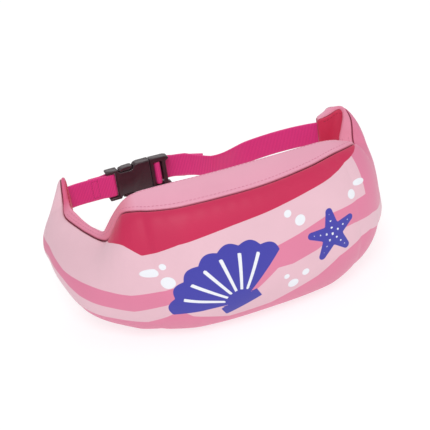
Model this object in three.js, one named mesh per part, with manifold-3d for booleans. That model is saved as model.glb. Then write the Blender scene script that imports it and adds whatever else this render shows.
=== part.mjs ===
// Child's neoprene swim belt: a foam-filled waist bolster that stands on its bottom, and a webbing
// strap with a side-release buckle that joins its two tips behind.
// Millimetres, +Z up, the front towards -Y, the wearer's left and right as seen from the front.
import * as THREE from 'three';
import { mergeVertices } from 'three/addons/utils/BufferGeometryUtils.js';
import Module from 'manifold-3d';

const wasm = await Module();
wasm.setup();

// Driving sizes
const GAP = 0.3; // clearance between neighbouring pieces
const NEOPRENE = 3; // thickness of the gusset and of the back panel
const STEEPEST = 3; // most that the gusset's upright thickness grows on the steps
const SEAM_RISE = 5; // height of the bottom back seam above the bottom
const TOE = 6; // distance of the bottom's rear edge from the back face
const SOLE_SHARE = 0.45; // share of the thickness where the flat bottom ends in front
const BULGE_SHARE = 0.4; // share of the height where the front is thickest
const CURVE_STEPS = 6; // facets on each half of the front's curve
const TWIST = 0.2; // least difference of a facet's two diagonals in height, doubled, that counts as twisted

const WEB_WIDTH = 25;
const WEB = 1.4; // thickness of the webbing
const HEM = 3; // thickness of the tail's folded hem
const HEM_LENGTH = 19;
const TAIL_LENGTH = 37; // free tail beyond the plug
const SAG = 4; // the long strap hangs this much lower where it leaves the plug
const FOLD_BACK = 24; // short strap's sewn end, from the socket's bar
const SPREAD = 14; // the short strap's two layers part this far before the bar
const LAYER = (WEB + GAP) / 2; // middle of each layer from the seam between them
const CORNER = 2; // radius of the webbing's middle at the plug's edges

const BUCKLE = { x: -97, y: 116, z: 92.5 }; // left end, middle of the thickness and of the height
const BOW = { run: 42, inward: 14, back: 12 }; // the long strap heads in beside the plug, then out again
const STRAP_END_Z = 92; // middle of the long strap at the right tip

// Plan of the back face from the middle to each tip, a row for each arc; it bends towards the wearer
const PLAN = {
  right: [
    { part: 'hump', length: 95, radius: 900 },
    { part: 'fold', length: 33, radius: 34 },
    { part: 'wing', length: 64, radius: 2000 },
    { part: 'hook', length: 19, radius: 11 },
    { part: 'tip', length: 12, radius: 400 },
  ],
  left: [
    { part: 'hump', length: 95, radius: 900 },
    { part: 'fold', length: 32, radius: 32 },
    { part: 'wing', length: 55, radius: 400 },
    { part: 'hook', length: 16, radius: 30 },
    { part: 'tip', length: 20, radius: 300 },
  ],
};

// Cross sections from the middle to each tip: place along the plan, height of the top at its rear and
// front edge, width of the gusset, thickness and height of the bottom; the steps are where the top falls
// from the hump to a wing, and it rises again to the tip
const SECTIONS = {
  right: [
    { s: 0, rear: 135.4, front: 132, gusset: 44, thick: 76, bottom: 0 },
    { s: 60, rear: 134.5, front: 132, gusset: 36, thick: 73, bottom: 0 },
    { s: 88, rear: 133.5, front: 131, gusset: 27, thick: 66, bottom: 3 },
    { s: 98, rear: 132, front: 130.5, gusset: 24, thick: 60.5, bottom: 5 },
    { s: 106, rear: 129, front: 129, gusset: 22, thick: 54, bottom: 7 },
    { s: 113, rear: 124, front: 126, gusset: 20.5, thick: 47.5, bottom: 9 },
    { s: 118, rear: 117, front: 113, gusset: 20, thick: 44, bottom: 11 },
    { s: 123, rear: 107, front: 99, gusset: 19, thick: 42, bottom: 13 },
    { s: 130, rear: 96, front: 90, gusset: 18, thick: 40, bottom: 16.5 },
    { s: 138, rear: 90, front: 87, gusset: 17, thick: 38.5, bottom: 20 },
    { s: 162, rear: 87, front: 85, gusset: 15, thick: 36, bottom: 32 },
    { s: 181, rear: 89, front: 88, gusset: 12, thick: 33, bottom: 44 },
    { s: 187, rear: 93, front: 94, gusset: 11, thick: 30.5, bottom: 47 },
    { s: 192, rear: 100, front: 103, gusset: 11, thick: 27.5, bottom: 49 },
    { s: 197, rear: 109, front: 112, gusset: 11.5, thick: 25, bottom: 52 },
    { s: 203, rear: 118.5, front: 117.5, gusset: 12.5, thick: 21, bottom: 56 },
    { s: 209, rear: 114.5, front: 118, gusset: 10.5, thick: 15.5, bottom: 60 },
    { s: 215, rear: 112.5, front: 114, gusset: 8.5, thick: 11, bottom: 62 },
    { s: 223, rear: 111, front: 108, gusset: 8, thick: 9.5, bottom: 64 },
  ],
  left: [
    { s: 0, rear: 135.4, front: 132, gusset: 44, thick: 76, bottom: 0 },
    { s: 60, rear: 136, front: 132, gusset: 42.5, thick: 73, bottom: 0 },
    { s: 88, rear: 135.5, front: 131, gusset: 33.5, thick: 66, bottom: 3 },
    { s: 98, rear: 133.5, front: 130, gusset: 26, thick: 60, bottom: 5 },
    { s: 104, rear: 129.5, front: 127, gusset: 20.5, thick: 57, bottom: 6 },
    { s: 108, rear: 126, front: 119, gusset: 18, thick: 55, bottom: 8 },
    { s: 113, rear: 121, front: 106, gusset: 15.5, thick: 53, bottom: 10 },
    { s: 118, rear: 115, front: 95, gusset: 13, thick: 52.5, bottom: 12 },
    { s: 124, rear: 105.5, front: 89.5, gusset: 11, thick: 52, bottom: 14 },
    { s: 130, rear: 95, front: 88, gusset: 10, thick: 51.5, bottom: 16.5 },
    { s: 138, rear: 90.5, front: 87.5, gusset: 9.5, thick: 51, bottom: 20 },
    { s: 152, rear: 90.5, front: 88, gusset: 9, thick: 48.5, bottom: 27 },
    { s: 166, rear: 93, front: 89.5, gusset: 9, thick: 45, bottom: 34 },
    { s: 180, rear: 97.5, front: 91, gusset: 9, thick: 40, bottom: 42.5 },
    { s: 190, rear: 99.5, front: 92.5, gusset: 8, thick: 36, bottom: 48 },
    { s: 198, rear: 102, front: 97, gusset: 6.4, thick: 30, bottom: 52 },
    { s: 203, rear: 108, front: 106, gusset: 5.4, thick: 24, bottom: 55 },
    { s: 209, rear: 115.5, front: 115, gusset: 5, thick: 17, bottom: 59 },
    { s: 214, rear: 118, front: 118, gusset: 4.8, thick: 13, bottom: 61 },
    { s: 218, rear: 117, front: 117, gusset: 4.8, thick: 10.5, bottom: 62 },
  ],
};

// Spacing of the modelled sections along the plan: closer on the steps and round the hooks
const SPACING = [
  { to: 88, step: 11 },
  { to: 134, step: 2.5 },
  { to: 188, step: 9 },
  { to: 240, step: 3 },
];

const FINISH = {
  front_panel: { color: 0xe8b8c8, roughness: 0.75 },
  top_gusset: { color: 0xea9caf, roughness: 0.75 },
  back_panel: { color: 0xc02c4d, roughness: 0.8 },
  webbing: { color: 0xc8296a, roughness: 0.7 },
  acetal: { color: 0x2a2024, roughness: 0.4 },
};

const sum = (rows, key) => rows.reduce((total, row) => total + row[key], 0);
const SIDES = { right: 1, left: -1 };

/** Point of the back face at a distance s along the plan, with its heading and outward normal. */
function onPlan(side, s) {
  let x = 0;
  let y = 0;
  let heading = 0;
  let rest = s;
  for (const { length, radius } of PLAN[side]) {
    const run = Math.min(rest, length);
    const turn = run / radius;
    const chord = 2 * radius * Math.sin(turn / 2);
    x += chord * Math.cos(heading + turn / 2);
    y += chord * Math.sin(heading + turn / 2);
    heading += turn;
    rest -= run;
  }
  const mirror = SIDES[side];
  return {
    point: new THREE.Vector2(mirror * x, y),
    along: new THREE.Vector2(mirror * Math.cos(heading), Math.sin(heading)),
    out: new THREE.Vector2(mirror * Math.sin(heading), -Math.cos(heading)),
  };
}

/** Slope of a column at row i: harmonic mean of the two neighbouring slopes, 0 at a turning point. */
function slopeAt(rows, key, i) {
  const rise = (a, b) => (rows[b][key] - rows[a][key]) / (rows[b].s - rows[a].s);
  if (i === 0) return 0;
  if (i === rows.length - 1) return rise(i - 1, i);
  const before = rise(i - 1, i);
  const after = rise(i, i + 1);
  return before * after <= 0 ? 0 : (2 * before * after) / (before + after);
}

/** Smooth value of a column at s: the cubic between two rows with the slopes above. */
function column(side, key, s) {
  const rows = SECTIONS[side];
  let i = 0;
  while (i < rows.length - 2 && rows[i + 1].s < s) i += 1;
  const a = rows[i];
  const b = rows[i + 1];
  const span = b.s - a.s;
  const t = Math.min(1, (s - a.s) / span);
  const start = a[key] * (1 + 2 * t) * (1 - t) ** 2 + slopeAt(rows, key, i) * span * t * (1 - t) ** 2;
  const end = b[key] * t * t * (3 - 2 * t) + slopeAt(rows, key, i + 1) * span * t * t * (t - 1);
  return start + end;
}

/** Height at s of a line that lies a depth below an edge of the top, measured square to its slope. */
function below(side, key, s, depth) {
  const [from, to] = [Math.max(0, s - 0.5), Math.min(SECTIONS[side].at(-1).s, s + 0.5)];
  const slope = (column(side, key, to) - column(side, key, from)) / (to - from);
  return column(side, key, s) - depth * Math.min(STEEPEST, Math.hypot(1, slope));
}

/** Sizes of the section at s on one side. under is the gusset's lower face, and clear lies a gap lower:
 * both take a distance from the back face and run straight from the rear edge to the front one. */
function sectionAt(side, s) {
  const size = {};
  for (const key of ['rear', 'front', 'gusset', 'thick', 'bottom']) size[key] = column(side, key, s);
  const line = (depth) => (out) => {
    const share = out / size.gusset;
    return below(side, 'rear', s, depth) * (1 - share) + below(side, 'front', s, depth) * share;
  };
  size.under = line(NEOPRENE);
  size.clear = line(NEOPRENE + GAP);
  return size;
}

/** Places along the plan of one side where a section is modelled. */
function places(side) {
  const end = sum(PLAN[side], 'length');
  const list = [0];
  for (const { to, step } of SPACING) {
    const last = list.at(-1);
    const stop = Math.min(to, end);
    const count = Math.max(0, Math.round((stop - last) / step));
    for (let i = 1; i <= count; i += 1) list.push(last + ((stop - last) * i) / count);
  }
  return list;
}

/** Closed geometry through rings of equal size: quads between neighbours, each cut along its higher
 * diagonal if it is twisted and its shorter one if not, so that panels which lie on each other are cut
 * alike, and flat caps on the ends. outline(i) is ring i drawn flat, clockwise. */
function loft(rings, outline) {
  const size = rings[0].length;
  const index = [];
  for (let i = 0; i + 1 < rings.length; i += 1) {
    for (let j = 0; j < size; j += 1) {
      const next = (j + 1) % size;
      const a = i * size + j;
      const b = i * size + next;
      const [falling, rising] = [[rings[i + 1][j], rings[i][next]], [rings[i][j], rings[i + 1][next]]];
      const lift = falling[0].z + falling[1].z - rising[0].z - rising[1].z;
      const longer = falling[0].distanceTo(falling[1]) - rising[0].distanceTo(rising[1]);
      const cut = Math.abs(lift) > TWIST ? lift : -longer;
      if (cut > 0) index.push(a, a + size, b, b, a + size, b + size);
      else index.push(a, a + size, b + size, a, b + size, b);
    }
  }
  const last = (rings.length - 1) * size;
  for (const [a, b, c] of THREE.ShapeUtils.triangulateShape(outline(0), [])) index.push(a, c, b);
  for (const [a, b, c] of THREE.ShapeUtils.triangulateShape(outline(rings.length - 1), [])) {
    index.push(last + a, last + b, last + c);
  }
  const geometry = new THREE.BufferGeometry().setFromPoints(rings.flat());
  geometry.setIndex(index);
  return volume(geometry) < 0 ? flipped(geometry) : geometry;
}

/** Signed volume of a closed indexed geometry. */
function volume(geometry) {
  const place = geometry.attributes.position;
  const corner = (k) => new THREE.Vector3().fromBufferAttribute(place, geometry.index.getX(k));
  let total = 0;
  for (let k = 0; k < geometry.index.count; k += 3) {
    total += corner(k).dot(corner(k + 1).cross(corner(k + 2))) / 6;
  }
  return total;
}

/** The same geometry with its faces turned the other way. */
function flipped(geometry) {
  const order = Array.from(geometry.index.array);
  for (let k = 0; k < order.length; k += 3) [order[k + 1], order[k + 2]] = [order[k + 2], order[k + 1]];
  return geometry.setIndex(order);
}

/** A mesh under its node's name, with the finish of its material. */
function piece(name, geometry, finish) {
  geometry.computeVertexNormals();
  const mesh = new THREE.Mesh(geometry, new THREE.MeshStandardMaterial({ ...FINISH[finish], metalness: 0 }));
  mesh.name = name;
  return mesh;
}

/** A panel from the left tip to the right one, whose section is a list of (outward, height) points. */
function panel(section) {
  const left = places('left').slice(1).reverse().map((s) => ({ side: 'left', s }));
  const right = places('right').map((s) => ({ side: 'right', s }));
  const stations = [...left, ...right];
  const outlines = stations.map(({ side, s }) => section(sectionAt(side, s)));
  const rings = stations.map(({ side, s }, i) => {
    const { point, out } = onPlan(side, s);
    return outlines[i].map(({ x, y }) => {
      const plan = point.clone().addScaledVector(out, x);
      return new THREE.Vector3(plan.x, plan.y, y);
    });
  });
  return loft(rings, (i) => outlines[i]);
}

const at = (out, height) => new THREE.Vector2(out, height);

/** Padded front: under the gusset, over the bulge, along the flat bottom and up behind the lining. */
function frontSection({ thick, gusset, bottom, clear }) {
  const seam = clear(gusset);
  const middle = bottom + (seam - bottom) * BULGE_SHARE;
  const sole = Math.max(thick * SOLE_SHARE, TOE + GAP);
  const outline = [at(NEOPRENE + GAP, clear(NEOPRENE + GAP))];
  for (let i = 0; i <= CURVE_STEPS; i += 1) {
    const c = ((i / CURVE_STEPS) * Math.PI) / 2;
    const height = middle + (seam - middle) * Math.cos(c);
    outline.push(at(gusset + (thick - gusset) * Math.sin(c), height));
  }
  for (let i = 1; i <= CURVE_STEPS; i += 1) {
    const c = ((i / CURVE_STEPS) * Math.PI) / 2;
    outline.push(at(sole + (thick - sole) * Math.cos(c), middle - (middle - bottom) * Math.sin(c)));
  }
  outline.push(at(TOE, bottom), at(NEOPRENE + GAP, bottom + SEAM_RISE));
  return outline;
}

/** Gusset: a wall from the rear edge of the top to the front one. */
function gussetSection({ rear, front, gusset, under }) {
  const lining = NEOPRENE + GAP / 2;
  return [
    at(0, rear), at(gusset, front), at(gusset, under(gusset)), at(lining, under(lining)), at(0, under(0)),
  ];
}

/** Lining: an upright wall from the bottom back seam to the gusset. */
function backSection({ bottom, clear }) {
  const seam = bottom + SEAM_RISE;
  return [at(0, seam), at(0, clear(0)), at(NEOPRENE, clear(NEOPRENE)), at(NEOPRENE, seam)];
}

/** Upright webbing along a plan path; where(run, total) gives its thickness and middle height. */
function webbing(path, where) {
  const points = path.getPoints(5);
  const runs = [0];
  for (let i = 1; i < points.length; i += 1) runs.push(runs[i - 1] + points[i].distanceTo(points[i - 1]));
  const total = runs.at(-1);
  const rings = points.map((point, i) => {
    const before = points[Math.max(0, i - 1)];
    const after = points[Math.min(points.length - 1, i + 1)];
    const enter = (i ? point.clone().sub(before) : after.clone().sub(point)).normalize();
    const leave = (i + 1 < points.length ? after.clone().sub(point) : point.clone().sub(before)).normalize();
    const mitre = enter.clone().add(leave).normalize();
    const { thick, middle } = where(runs[i], total);
    const half = thick / 2 / mitre.dot(leave);
    const across = new THREE.Vector2(-mitre.y, mitre.x).multiplyScalar(half);
    const low = middle - WEB_WIDTH / 2;
    const high = middle + WEB_WIDTH / 2;
    return [
      new THREE.Vector3(point.x - across.x, point.y - across.y, low),
      new THREE.Vector3(point.x - across.x, point.y - across.y, high),
      new THREE.Vector3(point.x + across.x, point.y + across.y, high),
      new THREE.Vector3(point.x + across.x, point.y + across.y, low),
    ];
  });
  const square = [at(0, 0), at(0, 1), at(1, 1), at(1, 0)];
  return loft(rings, () => square);
}

// Buckle, in its own plane: x along the strap from the socket's end, y across it, z through it
const BAR_RADIUS = 2;
const EASE = 1.5; // cut of the outline's corners
const BEVEL = 0.8; // softening of the plates' edges
const TURN = BAR_RADIUS + GAP + WEB / 2; // radius of the webbing's middle round a bar
const HALF_WIDTH = 18;
const SOCKET = {
  thick: 10, arm: 13.4, armEnd: 16.4, bar: 5.8, back: 10.2, window: 12.5, floor: 12.4, collar: 31,
  mouth: 46.5,
};
const HOLLOW = { from: 17, width: 31, thick: 6.4 };
const PLUG = { thick: 9, from: 47, window: 50, bar: 54.7, endBar: 59.5, end: 67.5, notch: 63.5, side: 13.4 };
const PRONG = { tip: 18, thick: 5.4, inner: 7.5, outer: 11.8 };
const BUTTON = { from: 14, to: 28.6, low: 12.9, out: 17, thick: 8.4, stemEnd: 27 };
const TONGUE = { tip: 20, width: 6 };

/** Solid body from a closed geometry, for cutting and joining. */
function solid(geometry) {
  const bare = new THREE.BufferGeometry();
  bare.setAttribute('position', geometry.attributes.position);
  bare.setIndex(geometry.index);
  const merged = mergeVertices(bare, 1e-4);
  return new wasm.Manifold(new wasm.Mesh({
    numProp: 3,
    vertProperties: new Float32Array(merged.attributes.position.array),
    triVerts: new Uint32Array(merged.index.array),
  }));
}

/** Geometry of a solid body. */
function fromSolid(body) {
  const mesh = body.getMesh();
  const geometry = new THREE.BufferGeometry();
  geometry.setAttribute('position', new THREE.BufferAttribute(mesh.vertProperties, 3));
  geometry.setIndex(new THREE.BufferAttribute(mesh.triVerts, 1));
  return geometry;
}

/** Box between two corners, as a solid. */
function block([x0, y0, z0], [x1, y1, z1]) {
  const box = new THREE.BoxGeometry(x1 - x0, y1 - y0, z1 - z0);
  return solid(box.translate((x0 + x1) / 2, (y0 + y1) / 2, (z0 + z1) / 2));
}

/** Round bar across the buckle at x, as a solid. */
function bar(x, half) {
  return solid(new THREE.CylinderGeometry(BAR_RADIUS, BAR_RADIUS, 2 * half, 16).translate(x, 0, 0));
}

/** Plate of an outline with softened edges, centred on the buckle's middle plane. */
function plate(shape, thick) {
  const geometry = new THREE.ExtrudeGeometry(shape, {
    depth: thick - 2 * BEVEL, bevelThickness: BEVEL, bevelSize: BEVEL, bevelOffset: -BEVEL, bevelSegments: 2,
  });
  return solid(geometry.translate(0, 0, -thick / 2 + BEVEL));
}

/** Outline made of an upper half, from left to right, and its mirror image. */
function mirrored(upper) {
  const lower = upper.map(({ x, y }) => at(x, -y)).reverse();
  return new THREE.Shape([...upper, ...lower]);
}

/** Socket: two arms with the web bar, a body with open sides for the prongs, and a full-width mouth. */
function socket() {
  const { arm, armEnd, back, window, floor, collar, mouth, thick } = SOCKET;
  const upper = [
    at(back, arm), at(EASE, arm), at(0, arm + EASE / 2), at(0, armEnd - EASE / 2), at(EASE / 2, armEnd),
    at(window - EASE / 2, armEnd), at(window, armEnd - EASE / 2), at(window + EASE / 2, floor + EASE),
    at(window + 2 * EASE, floor), at(collar - 4 * EASE, floor), at(collar - 2 * EASE, floor + EASE / 2),
    at(collar - EASE, floor + 2 * EASE), at(collar - EASE / 2, HALF_WIDTH - EASE),
    at(collar + EASE / 2, HALF_WIDTH - EASE / 3), at(collar + 2 * EASE, HALF_WIDTH), at(mouth, HALF_WIDTH),
  ];
  const hollow = block(
    [HOLLOW.from, -HOLLOW.width / 2, -HOLLOW.thick / 2],
    [mouth + EASE, HOLLOW.width / 2, HOLLOW.thick / 2],
  );
  return fromSolid(plate(mirrored(upper), thick).add(bar(SOCKET.bar, arm + EASE)).subtract(hollow));
}

/** Outline of a prong's button, which fills the socket's open side on one hand. */
function buttonShape(hand) {
  const { from, to, low, out } = BUTTON;
  const outline = [
    at(from + EASE, low), at(to - 3 * EASE, low), at(to - EASE, low + EASE), at(to, out - EASE),
    at(to - EASE / 2, out - EASE / 4), at(to - 2 * EASE, out), at(from + 3 * EASE, out - EASE / 4),
    at(from + EASE / 2, out - EASE), at(from, low + EASE),
  ];
  return new THREE.Shape(outline.map(({ x, y }) => at(x, hand * y)));
}

/** Plug: a frame with the bar that the strap turns round, a middle tongue and two sprung prongs. */
function plug() {
  const { thick, from, window, endBar, end, notch, side } = PLUG;
  const upper = [
    at(from, HALF_WIDTH), at(end - 3 * EASE, HALF_WIDTH - EASE / 3), at(end - EASE, HALF_WIDTH - EASE),
    at(end - EASE / 4, HALF_WIDTH - 2 * EASE), at(end - EASE / 4, side + EASE / 2), at(end - EASE, side),
    at(notch, side - EASE),
  ];
  const opening = block([window, -side, -thick], [endBar, side, thick]);
  let body = plate(mirrored(upper), thick).subtract(opening).add(bar(PLUG.bar, side + EASE));
  const half = PRONG.thick / 2;
  const root = from + EASE;
  body = body.add(block([TONGUE.tip, -TONGUE.width / 2, -half], [root, TONGUE.width / 2, half]));
  for (const hand of [1, -1]) {
    /** Bar on one hand between two places along and two distances from the middle. */
    const add = (x0, x1, near, far) => {
      const [low, high] = hand > 0 ? [near, far] : [-far, -near];
      body = body.add(block([x0, low, -half], [x1, high, half]));
    };
    add(PRONG.tip, root, PRONG.inner, PRONG.outer);
    add(PRONG.tip, BUTTON.stemEnd, PRONG.outer - EASE, BUTTON.low + EASE);
    body = body.add(plate(buttonShape(hand), BUTTON.thick));
  }
  return fromSolid(body);
}

/** Start of a strap: just beyond the end of a tip, in the middle of its thickness. */
function tipEnd(side) {
  const end = sum(PLAN[side], 'length');
  const { point, along, out } = onPlan(side, end);
  const half = column(side, 'thick', end) / 2;
  return { along, start: point.addScaledVector(out, half).addScaledVector(along, 2 * GAP) };
}

/** Plan path of the short strap: from the left tip to the socket's bar, round it and back. */
function shortPath() {
  const { start, along } = tipEnd('left');
  const lead = start.clone().addScaledVector(along, SPREAD * 0.6);
  const barX = BUCKLE.x + SOCKET.bar;
  const join = barX - SPREAD;
  const [near, far] = [BUCKLE.y - LAYER, BUCKLE.y + LAYER];
  const path = new THREE.Path().moveTo(start.x, start.y);
  path.bezierCurveTo(lead.x, lead.y, join - SPREAD, near, join, near);
  path.bezierCurveTo(join + SPREAD / 3, near, barX - SPREAD / 2, BUCKLE.y - TURN, barX, BUCKLE.y - TURN);
  path.absarc(barX, BUCKLE.y, TURN, -Math.PI / 2, Math.PI / 2, false);
  path.bezierCurveTo(barX - SPREAD / 2, BUCKLE.y + TURN, join + SPREAD / 3, far, join, far);
  return path.lineTo(barX - FOLD_BACK, far);
}

/** Plan path of the long strap: from the right tip, round the plug's bar and out again as the tail. */
function longPath() {
  const { start } = tipEnd('right');
  const barX = BUCKLE.x + PLUG.bar;
  const endX = BUCKLE.x + PLUG.end;
  const behind = BUCKLE.y + PLUG.thick / 2 + GAP + WEB / 2;
  const tail = behind + 2 * LAYER + GAP;
  const bend = at(endX + BOW.run, behind - BOW.inward);
  const path = new THREE.Path().moveTo(start.x, start.y);
  path.bezierCurveTo(start.x - BOW.run, start.y + BOW.back, bend.x + BOW.run / 2, bend.y, bend.x, bend.y);
  path.lineTo(endX, behind);
  path.lineTo(barX + TURN + CORNER, behind);
  path.absarc(barX + TURN + CORNER, behind - CORNER, CORNER, Math.PI / 2, Math.PI, false);
  path.lineTo(barX + TURN, BUCKLE.y);
  path.absarc(barX, BUCKLE.y, TURN, 0, Math.PI, true);
  path.lineTo(barX - TURN, tail - CORNER);
  path.absarc(barX - TURN + CORNER, tail - CORNER, CORNER, Math.PI, Math.PI / 2, true);
  path.lineTo(endX, tail);
  const beside = (run, off) => path.lineTo(endX + run, tail + off - (BOW.inward * run) / BOW.run);
  beside(TAIL_LENGTH - HEM_LENGTH - HEM, GAP);
  beside(TAIL_LENGTH - HEM_LENGTH, HEM / 2);
  return beside(TAIL_LENGTH, HEM / 2 + GAP);
}

/** Thickness and middle height along the long strap: it sags beside the plug, and so does its tail. */
function longStrap(run, total) {
  const tail = Math.max(0, run - total + TAIL_LENGTH) / TAIL_LENGTH;
  const toPlug = total - TAIL_LENGTH - PLUG.end;
  const rise = THREE.MathUtils.smoothstep(run, 0, toPlug);
  const sag = run < toPlug ? Math.sin(Math.PI * (run / toPlug) ** 3) : tail;
  return {
    thick: run > total - HEM_LENGTH - HEM / 2 ? HEM : WEB,
    middle: STRAP_END_Z + (BUCKLE.z - STRAP_END_Z) * rise - SAG * sag,
  };
}

const belt = new THREE.Group();
belt.add(piece('front_panel', panel(frontSection), 'front_panel'));
belt.add(piece('top_gusset', panel(gussetSection), 'top_gusset'));
belt.add(piece('back_panel', panel(backSection), 'back_panel'));
belt.add(piece('strap_short', webbing(shortPath(), () => ({ thick: WEB, middle: BUCKLE.z })), 'webbing'));
belt.add(piece('strap_long', webbing(longPath(), longStrap), 'webbing'));

const buckle = new THREE.Group();
buckle.position.set(BUCKLE.x, BUCKLE.y, BUCKLE.z);
buckle.rotation.x = Math.PI / 2;
buckle.add(piece('buckle_socket', socket(), 'acetal'));
buckle.add(piece('buckle_plug', plug(), 'acetal'));
belt.add(buckle);

// The origin is under the middle of the whole belt, on the floor
const box = new THREE.Box3().setFromObject(belt);
const middle = box.getCenter(new THREE.Vector3());
belt.position.set(-middle.x, -middle.y, -box.min.z);

export default belt;
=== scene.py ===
# Child's neoprene swim belt, standing fastened on its flat bottom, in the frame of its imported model.
# Sizes are in millimetres until a mesh is made; +X is to the right, +Y from the front to the strap.
import bmesh
import bpy
import numpy as np
from mathutils import Matrix


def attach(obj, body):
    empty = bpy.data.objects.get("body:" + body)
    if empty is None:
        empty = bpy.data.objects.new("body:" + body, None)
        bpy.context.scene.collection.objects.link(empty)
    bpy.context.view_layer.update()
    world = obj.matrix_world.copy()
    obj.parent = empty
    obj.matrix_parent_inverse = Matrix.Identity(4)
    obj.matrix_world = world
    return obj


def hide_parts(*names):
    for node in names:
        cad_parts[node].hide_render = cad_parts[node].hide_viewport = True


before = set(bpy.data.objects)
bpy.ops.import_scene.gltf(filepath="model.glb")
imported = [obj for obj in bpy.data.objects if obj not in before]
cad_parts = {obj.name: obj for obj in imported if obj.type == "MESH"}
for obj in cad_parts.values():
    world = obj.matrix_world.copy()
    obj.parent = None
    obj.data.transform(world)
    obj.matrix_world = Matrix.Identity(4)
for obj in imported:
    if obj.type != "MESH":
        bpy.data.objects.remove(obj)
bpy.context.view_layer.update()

# Padded front
# Printed neoprene sewn over a block of closed-cell foam: it leaves the top seam, rounds the bulge,
# lies flat along the bottom and ends in the seam of the lining. The foam keeps it full and smooth.
middle_foot = np.array((1.14, -24.1))
# length and radius of each arc of the back face, from the middle to the tip
right_arcs = ((95, 900), (33, 34), (64, 2000), (19, 11), (12, 400))
left_arcs = ((95, 900), (32, 32), (55, 400), (16, 30), (20, 300))
right_end = sum(length for length, radius in right_arcs)
left_end = -sum(length for length, radius in left_arcs)
# place along the belt, height of the top at its rear and front, width of the top, thickness and height
# of the bottom
right_rows = np.array((
    (0, 135.4, 132, 44, 76, 0), (60, 134.5, 132, 36, 73, 0), (88, 133.5, 131, 27, 66, 3),
    (98, 132, 130.5, 24, 60.5, 5), (106, 129, 129, 22, 54, 7), (113, 124, 126, 20.5, 47.5, 9),
    (118, 117, 113, 20, 44, 11), (123, 107, 99, 19, 42, 13), (130, 96, 90, 18, 40, 16.5),
    (138, 90, 87, 17, 38.5, 20), (162, 87, 85, 15, 36, 32), (181, 89, 88, 12, 33, 44),
    (187, 93, 94, 11, 30.5, 47), (192, 100, 103, 11, 27.5, 49), (197, 109, 112, 11.5, 25, 52),
    (203, 118.5, 117.5, 12.5, 21, 56), (209, 114.5, 118, 10.5, 15.5, 60), (215, 112.5, 114, 8.5, 11, 62),
    (223, 111, 108, 8, 9.5, 64)), float)
left_rows = np.array((
    (0, 135.4, 132, 44, 76, 0), (60, 136, 132, 42.5, 73, 0), (88, 135.5, 131, 33.5, 66, 3),
    (98, 133.5, 130, 26, 60, 5), (104, 129.5, 127, 20.5, 57, 6), (108, 126, 119, 18, 55, 8),
    (113, 121, 106, 15.5, 53, 10), (118, 115, 95, 13, 52.5, 12), (124, 105.5, 89.5, 11, 52, 14),
    (130, 95, 88, 10, 51.5, 16.5), (138, 90.5, 87.5, 9.5, 51, 20), (152, 90.5, 88, 9, 48.5, 27),
    (166, 93, 89.5, 9, 45, 34), (180, 97.5, 91, 9, 40, 42.5), (190, 99.5, 92.5, 8, 36, 48),
    (198, 102, 97, 6.4, 30, 52), (203, 108, 106, 5.4, 24, 55), (209, 115.5, 115, 5, 17, 59),
    (214, 118, 118, 4.8, 13, 61), (218, 117, 117, 4.8, 10.5, 62)), float)
bulge_share, sole_share, least_sole, toe, lining_gap, back_seam = 0.4, 0.45, 0.3, 6.0, 3.4, 5.0
lip_in, lip_up = np.array([[2.8, 4.6, 3.6]]), np.array([[0.8, 3.2, back_seam]])
tuck, lid_in, lid_down = 3, 1, 1.5
seam_depth, crest_depth, crest_side, crest_side_share, groove_share = 2.6, 1.4, 0.4, 0.04, 0.4
# power of the belly's curve, and what is added to it about a place on the right
belly_power, right_power, right_power_at, right_power_run = 1.1, 0.35, 112, 24
# how far the lining leans out at the right tip and, before it, in; where, and over what length
fold_out, fold_out_at, fold_out_run = 7.5, 202, 5
fold_in, fold_in_at, fold_in_run, fold_power = 3.5, 187, 6, 1.5
# room left for swelling, from what thickness and over how much more, and the most that a point swells
slack, slack_from, slack_over, most_swell = 2.0, 12, 30, 6.0


def plan_at(s):
    """Back face from above: each arc adds its chord, 2 r sin(t / 2), along the heading plus t / 2.
    Gives its points and the unit vectors out of it."""
    mirror, rest = np.where(s < 0, -1.0, 1.0), np.abs(s)
    x, y, heading = np.zeros_like(rest), np.zeros_like(rest), np.zeros_like(rest)
    for right, left in zip(right_arcs, left_arcs):
        length, radius = (np.where(s < 0, a, b) for a, b in zip(left, right))
        run = np.minimum(rest, length)
        turn = run / radius
        x += 2 * radius * np.sin(turn / 2) * np.cos(heading + turn / 2)
        y += 2 * radius * np.sin(turn / 2) * np.sin(heading + turn / 2)
        heading += turn
        rest = rest - run
    foot = np.stack((mirror * x, y), -1) + middle_foot
    return foot, np.stack((mirror * np.sin(heading), -np.cos(heading)), -1)


def section_at(s):
    """Rear height, front height, width of the top, thickness and bottom at s: a cubic between rows,
    with each row's slope the harmonic mean of the slopes beside it."""
    sides, reach = [], np.abs(s)
    for table in (left_rows, right_rows):
        place, rows = table[:, 0], table[:, 1:]
        rise = np.diff(rows, axis=0) / np.diff(place)[:, None]
        same_way = rise[:-1] * rise[1:] > 0
        mean = 2 * rise[:-1] * rise[1:] / np.where(same_way, rise[:-1] + rise[1:], 1)
        slope = np.vstack((np.zeros(rows.shape[1]), np.where(same_way, mean, 0), rise[-1]))
        i = np.clip(np.searchsorted(place, reach) - 1, 0, len(place) - 2)
        span = (place[i + 1] - place[i])[:, None]
        t = np.minimum(1, (reach - place[i])[:, None] / span)
        value = rows[i] * (1 + 2 * t) * (1 - t) ** 2 + rows[i + 1] * t * t * (3 - 2 * t)
        sides.append(value + span * (slope[i] * t * (1 - t) ** 2 + slope[i + 1] * t * t * (t - 1)))
    return np.where((s < 0)[:, None], *sides).T


def bell(at, middle, spread):
    """Bell curve of height 1: exp of minus the square of the distance from its middle over its spread."""
    return np.exp(-((at - middle) / spread) ** 2)


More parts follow.
